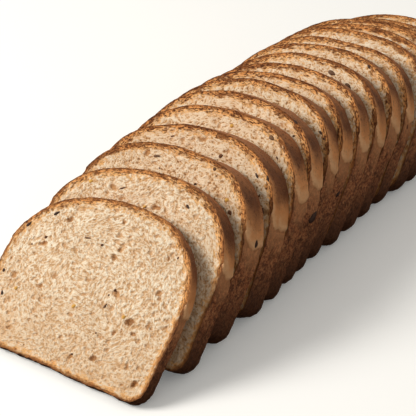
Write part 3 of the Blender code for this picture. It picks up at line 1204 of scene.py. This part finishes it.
class Solids:
    """The CAD solids as seen from the camera."""

    AHEAD_PIXELS = 4.0

    def __init__(self, view: Viewpoint) -> None:
        """Prepares each node for lines of sight."""
        self.view = view
        self.trees = {}
        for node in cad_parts:
            points, triangles = node_arrays(node)
            self.trees[node] = BVHTree.FromPolygons(points.tolist(), triangles.tolist())

    def seen(self, pixel: tuple[float, float], turn_deg: float) -> Sight:
        """Follows a pixel's line of sight.

        Args:
            pixel: Its place in the 416 by 416 frame.
            turn_deg: The wanted way along the surface, as an angle in the picture that turns
                left from the right.

        Returns:
            What the line meets.
        """
        way = self.view.ray(pixel)
        hits = {node: tree.ray_cast(self.view.place, way) for node, tree in self.trees.items()}
        node = min((n for n in hits if hits[n][0] is not None), key=lambda n: hits[n][3])
        at, out = hits[node][0], hits[node][1].normalized()
        turn = math.radians(turn_deg)
        across, up = self.AHEAD_PIXELS * math.cos(turn), self.AHEAD_PIXELS * math.sin(turn)
        line = self.view.ray((pixel[0] + across, pixel[1] - up))
        tip = self.view.place + line * ((at - self.view.place).dot(out) / line.dot(out))
        return Sight(node, np.array(at), np.array(out), np.array(tip - at))


# ---------------------------------------------------------------- grains


class Kind(Enum):
    """The kinds of grain and seed."""

    DARK = "dark_seeds"
    BAKED = "baked_seeds"
    BROWN = "brown_grains"
    YELLOW = "yellow_grits"
    HULL = "hulls"


@dataclass(frozen=True)
class Seen:
    """A grain or a hole that the photograph shows.

    Its pixel, its length and width in millimetres, and its turn in the picture.
    """

    pixel: tuple[float, float]
    length: float
    width: float
    turn_deg: float


LARGE_SEEDS = (
    Seen((256, 244), 4.8, 2.2, 75), Seen((313, 217), 8.6, 4.0, 58), Seen((338, 194), 4.8, 2.2, 52),
)
SEEN_GRAINS = {
    Kind.DARK: (
        Seen((57, 213), 4.2, 1.5, 25), Seen((29, 224), 3.8, 1.7, 40), Seen((4, 270), 2.0, 2.0, 0),
        Seen((2, 292), 3.0, 1.2, 80), Seen((91, 387), 2.6, 1.6, 10),
        Seen((188, 207), 3.6, 1.4, -55), Seen((257, 176), 3.8, 1.4, -65),
        Seen((268, 179), 4.0, 1.5, -75), Seen((262, 212), 4.6, 1.7, 85),
        Seen((296, 122), 3.4, 1.5, -50), Seen((321, 133), 3.4, 1.5, -50),
        Seen((324, 139), 2.4, 1.2, -50), Seen((369, 67), 3.6, 1.5, -60),
    ),
    Kind.BROWN: (
        Seen((105, 306), 3.0, 1.3, 55), Seen((157, 156), 4.6, 1.6, 0),
        Seen((215, 169), 2.6, 2.0, 0), Seen((272, 138), 4.2, 2.6, -40),
        Seen((332, 73), 6.0, 2.6, -30), Seen((348, 86), 5.0, 2.4, -40),
    ),
    Kind.YELLOW: (
        Seen((16, 288), 2.4, 2.0, 40), Seen((74, 306), 3.0, 2.0, 20),
        Seen((124, 317), 2.4, 2.2, 30), Seen((91, 181), 2.6, 2.0, 10),
        Seen((227, 200), 2.4, 2.2, 0), Seen((232, 126), 2.6, 2.2, 0),
    ),
    Kind.HULL: (
        Seen((46, 237), 2.0, 1.6, 20), Seen((102, 245), 1.7, 1.5, 0),
        Seen((178, 258), 1.6, 1.1, 70), Seen((88, 238), 4.0, 0.8, -8),
        Seen((115, 290), 1.8, 1.3, 60), Seen((109, 295), 1.5, 1.0, 30),
        Seen((96, 333), 1.3, 1.1, 0), Seen((72, 354), 1.4, 1.0, 0), Seen((32, 244), 1.2, 0.9, 0),
        Seen((123, 188), 5.0, 0.9, 15), Seen((195, 184), 1.8, 1.3, 20),
        Seen((173, 136), 3.4, 1.0, 15), Seen((230, 213), 3.6, 2.0, -60),
        Seen((259, 196), 2.6, 1.1, 60), Seen((221, 156), 3.0, 2.2, 20),
        Seen((277, 158), 2.4, 1.0, -60), Seen((294, 136), 2.2, 1.3, 0),
        Seen((262, 76), 4.5, 1.1, 10), Seen((309, 59), 4.5, 1.1, 5),
    ),
}
SEEN_HOLES = (
    Seen((129, 322), 5.0, 3.6, 20), Seen((133, 334), 3.2, 2.2, 20), Seen((93, 358), 4.2, 3.0, 20),
    Seen((127, 366), 4.0, 2.2, 70), Seen((134, 384), 4.2, 3.4, 40), Seen((69, 357), 3.2, 2.4, 30),
    Seen((114, 257), 3.8, 2.8, 20), Seen((120, 250), 2.8, 2.2, 20), Seen((70, 219), 4.6, 3.0, 0),
    Seen((124, 222), 3.0, 2.2, 70), Seen((40, 285), 3.6, 2.4, 30), Seen((55, 276), 5.0, 2.0, 25),
    Seen((168, 258), 3.4, 1.8, 75), Seen((160, 299), 3.2, 2.0, 40), Seen((148, 326), 4.2, 1.9, 70),
    Seen((8, 327), 3.0, 2.0, 20), Seen((114, 333), 3.2, 2.0, 20), Seen((121, 198), 4.0, 2.2, 0),
    Seen((156, 208), 7.0, 2.6, 0), Seen((43, 243), 6.0, 2.6, 15), Seen((202, 140), 5.5, 2.6, -10),
)
GRAIN_FINISHES = {
    Kind.DARK: GrainFinish("dark_seed", srgb(46, 32, 28), srgb(82, 58, 46), 0.5),
    Kind.BAKED: GrainFinish("baked_seed", srgb(98, 62, 40), srgb(140, 92, 58), 0.6),
    Kind.BROWN: GrainFinish("brown_grain", srgb(124, 92, 66), srgb(84, 58, 42), 0.6),
    Kind.YELLOW: GrainFinish("yellow_grit", srgb(224, 176, 92), srgb(200, 146, 66), 0.6),
    Kind.HULL: GrainFinish("hull", srgb(70, 40, 24), srgb(108, 66, 38), 0.6),
}


@dataclass
class GrainKind:
    """All grains of one kind, joined into one mesh."""

    kind: Kind
    seed: int = 21
    points: list[np.ndarray] = field(default_factory=list)
    places: list[np.ndarray] = field(default_factory=list)
    tints: list[np.ndarray] = field(default_factory=list)
    triangles: list[np.ndarray] = field(default_factory=list)
    count: int = 0

    SUBDIVISIONS = 3
    ONE_END, BOTH_ENDS = 0.28, 0.22  # how much a grain narrows towards them
    UNEVEN = (0.8, 0.07)  # size and strength, in shares of the grain's half length
    SHAPES_APART = 5.0
    PLACES_APART_MM = 7.0

    def __post_init__(self) -> None:
        """Makes the ball that each grain is shaped from."""
        self.rng = np.random.default_rng(self.seed)
        ball = bmesh.new()
        bmesh.ops.create_icosphere(ball, subdivisions=self.SUBDIVISIONS, radius=1.0)
        self.ball = np.array([v.co for v in ball.verts])
        self.ball_faces = np.array([[v.index for v in f.verts] for f in ball.faces])
        ball.free()

    def add(
        self, at: np.ndarray, long: np.ndarray, out: np.ndarray, size: Sequence[float], bury: float
    ) -> None:
        """Adds one grain.

        Args:
            at: The point of the surface that it lies on.
            long: Its long direction.
            out: The surface's outward way.
            size: Its length, width and rise, in metres.
            bury: How far its middle lies below the surface, in metres.
        """
        shape = self.ball.copy()
        taper = 1 - self.ONE_END * shape[:, 0] - self.BOTH_ENDS * shape[:, 0] ** 2
        shape[:, 1:] *= taper[:, None]
        shape *= 1 + LUMPS.mixed(self.ball + self.count * self.SHAPES_APART, self.UNEVEN)[:, None]
        long = long - out * (long @ out)
        long /= np.linalg.norm(long)
        axes = np.stack([long, np.cross(out, long), out])
        sized = shape * np.array(size) / 2
        self.points.append(sized @ axes + at - out * bury)
        self.places.append(sized / MM + self.count * self.PLACES_APART_MM)
        self.tints.append(np.full(len(shape), self.rng.random()))
        self.triangles.append(self.ball_faces + self.count * len(self.ball))
        self.count += 1

    def build(self) -> bpy.types.Object:
        """Joins the grains.

        Returns:
            The piece.
        """
        piece = new_object(self.kind.value, np.vstack(self.points), np.vstack(self.triangles))
        piece.data.materials.append(GRAIN_FINISHES[self.kind].make())
        write_numbers(piece, {"place": np.vstack(self.places), "tint": np.concatenate(self.tints)})
        return piece


@dataclass
class CrustSeeds:
    """Finds the seeds that are fused to a slice's crust in its solid."""

    form: SliceForm
    off_ring: float = 0.00045
    sunk: float = 0.0004
    reach: float = 0.0065
    fewest: int = 4
    hidden_ends: float = 1.22
    shortest: float = 0.003

    OUTLINE_POINTS = 600
    RINGS = (0.0, 0.5, 1.0)  # where the solid has rings of corners, in shares of its thickness

    def found(self) -> list[tuple[np.ndarray, np.ndarray, np.ndarray, float]]:
        """Looks for clusters of corners on the crust, away from the slice's own rings of them.

        Returns:
            Each seed's place, long direction and outward way in the row frame, and its length.
        """
        points, _ = node_arrays(self.form.node)
        own = self.form.own(points)
        outline = self.form.smooth_outline(self.OUTLINE_POINTS)
        ways = outward_of(outline)
        nearest = np.linalg.norm(own[:, None, :2] - outline[None], axis=2).argmin(axis=1)
        out_by = ((own[:, :2] - outline[nearest]) * ways[nearest]).sum(axis=1)
        rings = np.array(self.RINGS) * self.form.thickness
        apart = np.abs(own[:, 2][:, None] - rings).min(axis=1) > self.off_ring
        left = list(np.flatnonzero(apart & (out_by > -self.sunk)))
        seeds = []
        while left:
            near = [k for k in left if np.linalg.norm(points[k] - points[left[0]]) < self.reach]
            left = [k for k in left if k not in near]
            if len(near) < self.fewest:
                continue
            corners = points[near]
            gaps = np.linalg.norm(corners[:, None] - corners[None], axis=2)
            one, two = np.unravel_index(gaps.argmax(), gaps.shape)
            way = ways[nearest[near[0]]]
            out = self.form.axes[0] * way[0] + self.form.axes[1] * way[1]
            centre = corners.mean(axis=0) - out * float(np.mean(out_by[near]))
            length = max(float(gaps[one, two]) * self.hidden_ends, self.shortest)
            seeds.append((centre, corners[one] - corners[two], out, length))
        return seeds


# ---------------------------------------------------------------- the loaf


@dataclass
class Loaf:
    """All the bread and its grains, riding on the one body."""

    solids: Solids
    body: str = "root"
    fineness: tuple[tuple[int, int, float], ...] = (
        (0, 704, 0.5),
        (2, 480, 0.72),
        (5, 384, 0.88),
        (10, 320, 1.05),
        (17, 224, 1.4),
    )
    breaks: tuple[float, ...] = (0.52, 0.57, 0.60, 0.56, 0.63, 0.62, 0.65, 0.63, 0.63, 0.60, 0.62)
    coarseness: tuple[float, ...] = (0.0, 0.3, 0.7, *[0.85] * 5, 0.8, 0.7, 0.6, 0.4, 0.3)
    hole_depth: float = 0.6
    same_seed: float = 0.008
    bedded: float = 0.00012
    sprinkled: dict[Kind, tuple[int, float, float]] = field(
        default_factory=lambda: {
            Kind.DARK: (2, 2.4, 3.6),
            Kind.BROWN: (3, 2.2, 4.2),
            Kind.YELLOW: (2, 1.6, 2.6),
            Kind.HULL: (6, 1.2, 2.6),
        }
    )
    first_seed: int = 100
    slices: list[Bread] = field(default_factory=list)
    grains: dict[Kind, GrainKind] = field(
        default_factory=lambda: {kind: GrainKind(kind) for kind in Kind}
    )

    FUSED = (0.46, 0.40, 0.036)  # a fused seed's width, rise and depth for its length
    RISE, LEAST_WIDTH = 0.8, 1.0  # a seen grain's rise for its width, of at least this in mm
    FACE_REACH, SHARES = 0.46, (0.02, 0.8)  # how far out sprinkled grains lie
    TILTS, SLIMNESS, FLATNESS = (-0.9, 0.9), (0.4, 0.6), 0.9

    def keep(self, piece: bpy.types.Object) -> None:
        """Rides a piece on the body and reports it."""
        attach(piece, self.body)
        LOG.info("%s: %d triangles", piece.name, len(piece.data.polygons))

    def hollows(self, form: SliceForm) -> list[Hollow]:
        """The holes that the photograph shows in a slice's cut face."""
        found = []
        for hole in SEEN_HOLES:
            sight = self.solids.seen(hole.pixel, hole.turn_deg)
            if sight.node != form.node:
                continue
            here, ahead = form.own(np.array([sight.at, sight.at + sight.long])) / MM
            turn = math.atan2(ahead[1] - here[1], ahead[0] - here[0])
            deepest = hole.width * self.hole_depth
            found.append(Hollow(here[0], here[1], hole.length, hole.width, turn, deepest))
        return found

    def bake(self) -> None:
        """Replaces every solid by its fine mesh, front to back."""
        crumb, crust = CrumbFinish().make(), CrustFinish().make()
        along = 0.0
        nodes = sorted(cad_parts, key=lambda n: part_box(n)[0].y)
        for number, node in enumerate(nodes):
            form = SliceForm.measured(node)
            kind = Heel if node == "heel" else Bread
            seed = self.first_seed + number
            bread = kind(form, crumb, crust, along, seed, holes=self.hollows(form))
            bread.around, bread.ring_mm = next(
                fineness for last, *fineness in self.fineness if number <= last
            )
            bread.break_share = self.breaks[min(number, len(self.breaks) - 1)]
            bread.coarse = self.coarseness[min(number, len(self.coarseness) - 1)]
            piece = bread.build()
            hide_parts(node)
            self.keep(piece)
            self.slices.append(bread)
            along += form.thickness / MM

    def scatter(self) -> None:
        """Beds grains in the cut faces and on the crust."""
        large = [self.fine_surface(seed.pixel) for seed in LARGE_SEEDS]
        for seed, at in zip(LARGE_SEEDS, large):
            self.bed_seen(Kind.DARK, seed, at)
        for bread in self.slices:
            self.bed_fused(bread, large)
        for kind, grains in SEEN_GRAINS.items():
            for grain in grains:
                self.bed_seen(kind, grain)
        for bread in self.slices[1:]:
            self.sprinkle(bread)
        for grains in self.grains.values():
            self.keep(grains.build())

    def bed_seen(self, kind: Kind, grain: Seen, at: np.ndarray | None = None) -> None:
        """Beds a grain that the photograph shows.

        Args:
            kind: Its kind.
            grain: How it shows.
            at: Where it lies, if that isn't on the solid at its pixel.
        """
        sight = self.solids.seen(grain.pixel, grain.turn_deg)
        rise = max(grain.width, self.LEAST_WIDTH) * self.RISE
        size = (grain.length * MM, grain.width * MM, rise * MM)
        place = sight.at if at is None else at
        self.grains[kind].add(place, sight.long, sight.out, size, self.bedded)

    def bed_fused(self, bread: Bread, large: Sequence[np.ndarray]) -> None:
        """Beds the seeds that are fused to a slice's solid.

        Args:
            bread: The slice.
            large: Where large seeds lie already, which stand for the fused ones near them.
        """
        wide, high, deep = self.FUSED
        for at, long, out, length in CrustSeeds(bread.form).found():
            if min(np.linalg.norm(at - known) for known in large) > self.same_seed:
                size = (length, length * wide, length * high)
                place = bread.crust_over(at, out)
                self.grains[Kind.BAKED].add(place, long, out, size, length * deep)

    def fine_surface(self, pixel: tuple[float, float]) -> np.ndarray:
        """The point of the fine meshes that a pixel's line of sight meets first."""
        start, way = self.solids.view.place, self.solids.view.ray(pixel)
        hits = [bread.skin.ray_cast(start, way) for bread in self.slices]
        met = [hit for hit in hits if hit[0] is not None]
        return np.array(min(met, key=lambda hit: hit[3])[0])

    def sprinkle(self, bread: Bread) -> None:
        """Beds a few grains of each kind at random places of a slice's cut face."""
        rng = np.random.default_rng(bread.seed)
        form = bread.form
        for kind, (count, shortest, longest) in self.sprinkled.items():
            for _ in range(count):
                turn, reach = rng.uniform(0, 2 * math.pi), math.sqrt(rng.uniform(*self.SHARES))
                way = np.array([math.cos(turn), math.sin(turn)])
                spot = bread.middle + way * form.height * self.FACE_REACH * reach
                at = form.world(spot[None], np.zeros(1))[0]
                tilt, length = rng.uniform(*self.TILTS), rng.uniform(shortest, longest) * MM
                long = form.axes[0] * math.cos(tilt) + form.axes[1] * math.sin(tilt)
                width = length * rng.uniform(*self.SLIMNESS)
                size = (length, width, width * self.FLATNESS)
                self.grains[kind].add(at, long, -form.axes[2], size, self.bedded)


# ---------------------------------------------------------------- the studio


@dataclass
class Studio:
    """A plain pale floor and soft light from the upper left."""

    floor_size: float = 8.0
    key_energy: float = 23.5
    key_size: float = 0.65
    key_from: Vector = field(default_factory=lambda: Vector((-0.95, -0.95, 1.0)))
    key_colour: tuple[float, float, float] = (1.0, 0.97, 0.93)
    sky: Colour = (1.0, 0.975, 0.94, 1.0)
    sky_strength: float = 0.46

    def build(self) -> None:
        """Makes the floor, the lights and the world."""
        corners = np.array([[-1, -1, 0], [1, -1, 0], [1, 1, 0], [-1, 1, 0]]) * self.floor_size / 2
        floor = new_object("floor", corners, np.array([[0, 1, 2], [0, 2, 3]]))
        floor.data.materials.append(FloorFinish().make())
        self.light()
        world = bpy.data.worlds.new("studio")
        world.use_nodes = True
        background = world.node_tree.nodes["Background"]
        background.inputs["Color"].default_value = self.sky
        background.inputs["Strength"].default_value = self.sky_strength
        bpy.context.scene.world = world
        bpy.context.scene.view_settings.view_transform = "Standard"

    def light(self) -> None:
        """Adds a square area light that faces the loaf."""
        data = bpy.data.lights.new("key", "AREA")
        data.energy = self.key_energy
        data.size = self.key_size
        data.color = self.key_colour
        lamp = bpy.data.objects.new("key", data)
        lamp.location = self.key_from
        lamp.rotation_euler = self.key_from.to_track_quat("Z", "Y").to_euler()
        bpy.context.scene.collection.objects.link(lamp)


def write_sizes() -> None:
    """Brings the view layer up to date."""
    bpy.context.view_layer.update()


def main() -> None:
    """Builds the loaf and its studio."""
    logging.basicConfig(level=logging.INFO, format="%(name)s: %(message)s")
    view = Viewpoint()
    loaf = Loaf(Solids(view))
    loaf.bake()
    loaf.scatter()
    view.build()
    Studio().build()
    write_sizes()


if __name__ == "__main__":
    main()
